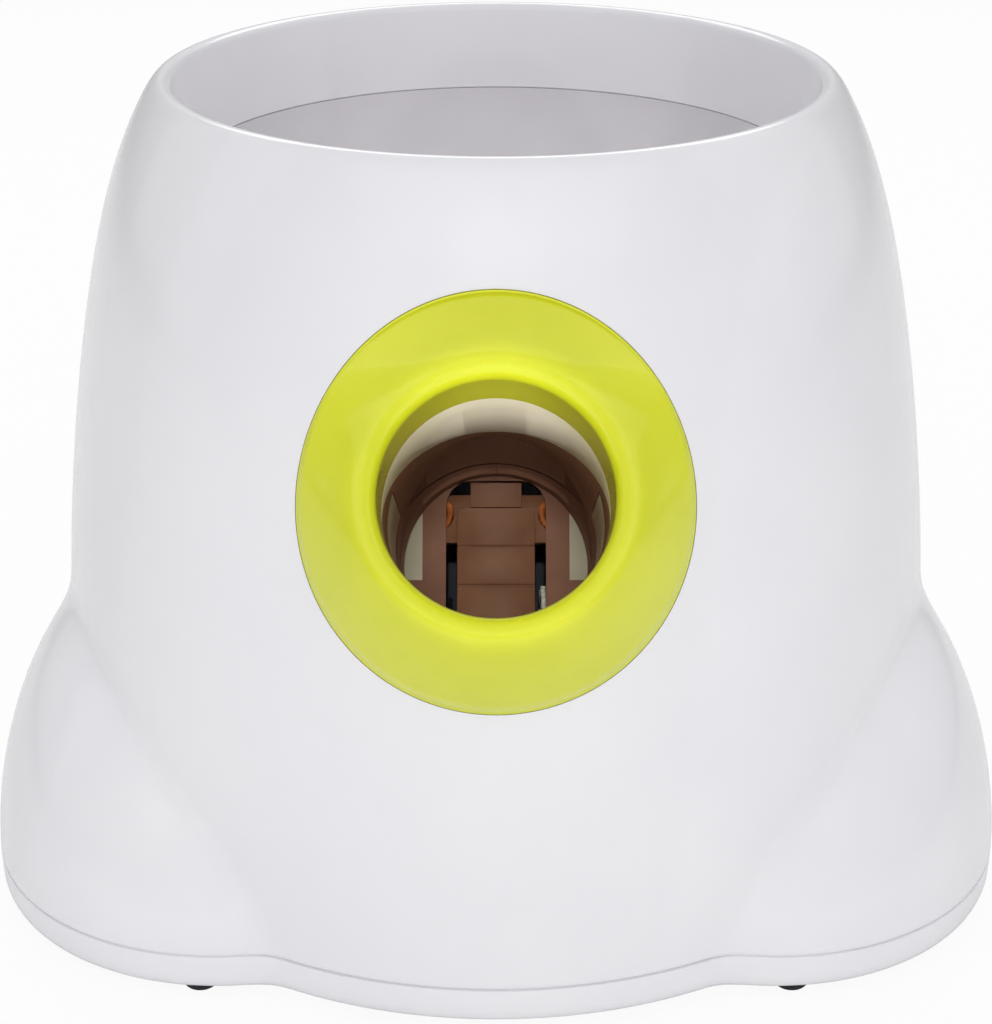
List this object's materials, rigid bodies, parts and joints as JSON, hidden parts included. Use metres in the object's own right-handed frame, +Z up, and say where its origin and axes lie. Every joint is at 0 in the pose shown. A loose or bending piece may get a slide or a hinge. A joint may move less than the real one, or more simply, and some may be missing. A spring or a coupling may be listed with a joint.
{
  "type": "automatic dog ball launcher",
  "caption": "White round-bodied ball launcher with three lobes, a hopper bowl on top and a lime ring round its inclined muzzle; a spring striker shoots mini balls.",
  "frame": {"origin": "on the surface that the feet stand on, under the middle of the bounding box", "axes": "-Y the way the muzzle faces, +Z up, +X to the right seen from the front"},
  "size_m": [0.2866, 0.2914, 0.225],
  "materials": {
    "shell_white": "high-gloss white ABS",
    "ring_lime": "gloss yellow-green ABS",
    "tube_smoke": "glossy smoke-brown plastic",
    "hood_grey": "satin warm-grey plastic",
    "window_grey": "grey-green infrared window",
    "dark_plastic": "fine-grained dark ABS",
    "steel": "bright zinc-plated steel",
    "striker_brown": "satin brown acetal",
    "spring_copper": "copper-coated spring wire",
    "gear_cream": "natural acetal",
    "pinion_brass": "brass",
    "contact_nickel": "nickel-plated strip",
    "cell_wrap": "printed wrap over a metal can",
    "panel_grey": "satin light-grey ABS",
    "button_grey": "soft-touch dark grey",
    "lens_green": "translucent green light guide",
    "board_green": "green solder mask",
    "foot_rubber": "black rubber"
  },
  "bodies": {
    "housing": {"upper_shell": "shell_white", "base_tray": "shell_white", "muzzle_ring": "ring_lime", "hopper_left": "shell_white", "hopper_right": "shell_white", "tube_hood": "hood_grey", "tube_left": "tube_smoke", "tube_right": "tube_smoke", "ir_window_left": "window_grey", "ir_window_right": "window_grey", "ir_emitter": "dark_plastic", "ir_receiver": "dark_plastic", "tube_cradle": "dark_plastic", "tube_screws": "steel", "guide_rods": "steel", "spring_left": "spring_copper", "spring_right": "spring_copper", "spring_bracket": "dark_plastic", "gear_plate_inner": "dark_plastic", "gear_plate_outer": "dark_plastic", "shaft_bracket": "dark_plastic", "end_switch": "dark_plastic", "motor": "steel", "battery_box": "dark_plastic", "battery_contacts": "contact_nickel", "cell_1": "cell_wrap", "cell_2": "cell_wrap", "cell_3": "cell_wrap", "cell_4": "cell_wrap", "cell_5": "cell_wrap", "cell_6": "cell_wrap", "control_panel": "panel_grey", "indicator_lenses": "lens_green", "control_board": "board_green", "tact_switches": "dark_plastic", "board_screws": "steel", "dc_jack": "dark_plastic", "foot_1": "foot_rubber", "foot_2": "foot_rubber", "foot_3": "foot_rubber", "foot_4": "foot_rubber", "foot_5": "foot_rubber", "foot_6": "foot_rubber", "case_screws": "steel"},
    "drive": {"sector_gear": "gear_cream", "output_gear": "gear_cream", "drive_shaft": "steel", "switch_cam": "gear_cream"},
    "idler": {"idler_gear": "gear_cream", "idler_shaft": "steel"},
    "motor_rotor": {"motor_pinion": "pinion_brass"},
    "striker": {"striker_face": "striker_brown", "striker_carriage": "striker_brown"},
    "power_key": {"power_button": "button_grey"},
    "distance_key": {"distance_button": "button_grey"},
    "door": {"battery_door": "shell_white"}
  },
  "joints": [
    {"name": "drive_turn", "type": "hinge", "parent": "housing", "child": "drive", "pos_m": [0, 0.03108, 0.02732], "axis": [-1, 0, 0], "range_deg": [0, 143.24]},
    {"name": "striker_slide", "type": "slide", "parent": "housing", "child": "striker", "axis": [0, 0.848, -0.5299], "range_m": [0, 0.03], "deforming": ["spring_left", "spring_right"]},
    {"name": "idler_turn", "type": "hinge", "parent": "housing", "child": "idler", "pos_m": [0, 0.05508, 0.02732], "axis": [1, 0, 0], "range_deg": [0, 430]},
    {"name": "motor_turn", "type": "hinge", "parent": "housing", "child": "motor_rotor", "pos_m": [0, 0.07905, 0.02607], "axis": [-1, 0, 0], "range_deg": [0, 1290]},
    {"name": "power_press", "type": "slide", "parent": "housing", "child": "power_key", "axis": [0, -1, 0], "range_m": [0, 0.0012], "stiffness_N_per_m": 300},
    {"name": "distance_press", "type": "slide", "parent": "housing", "child": "distance_key", "axis": [0, -1, 0], "range_m": [0, 0.0012], "stiffness_N_per_m": 300},
    {"name": "door_hinge", "type": "hinge", "parent": "housing", "child": "door", "pos_m": [0, -0.11775, 0.0056], "axis": [-1, 0, 0], "range_deg": [0, 90]}
  ],
  "couplings": [
    {"joint": "drive_turn", "follows": "striker_slide", "rad_per_m": 83.333},
    {"joint": "idler_turn", "follows": "striker_slide", "rad_per_m": 250},
    {"joint": "motor_turn", "follows": "striker_slide", "rad_per_m": 750}
  ]
}
